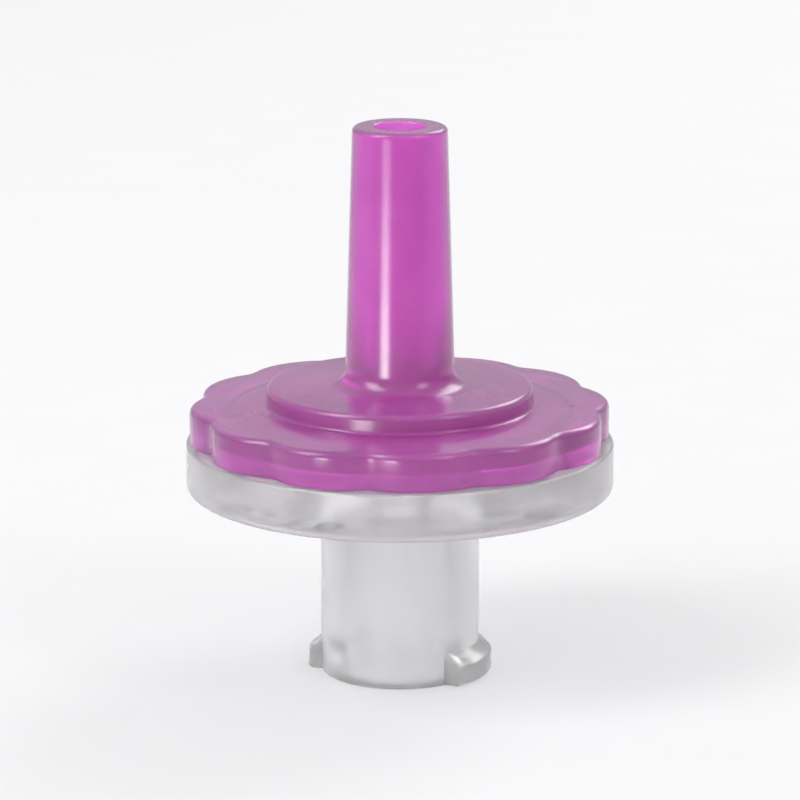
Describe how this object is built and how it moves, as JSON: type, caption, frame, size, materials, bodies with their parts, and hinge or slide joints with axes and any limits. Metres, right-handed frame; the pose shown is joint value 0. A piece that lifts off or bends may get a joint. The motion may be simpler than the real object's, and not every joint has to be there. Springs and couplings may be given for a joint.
{
  "type": "syringe filter",
  "caption": "Disc-shaped filter with a female Luer-lock inlet, a clear inlet half, a lobed magenta outlet half and a slip nozzle, welded round a thin membrane.",
  "frame": {"origin": "centre of the open end of the Luer-lock inlet, on the surface that the filter stands on", "axes": "+Z along the flow, up from the inlet to the tip of the nozzle; +X through one of the two lugs"},
  "size_m": [0.018, 0.018, 0.0234],
  "materials": {
    "clear_plastic": "natural polypropylene, translucent, slightly frosted",
    "magenta_plastic": "magenta polypropylene, translucent, slightly frosted",
    "membrane_film": "dull white microporous film",
    "ink": "thin black pad print"
  },
  "bodies": {
    "root": {"inlet_housing": "clear_plastic", "outlet_housing": "magenta_plastic", "membrane": "membrane_film", "print_marks": "ink"}
  },
  "joints": []
}
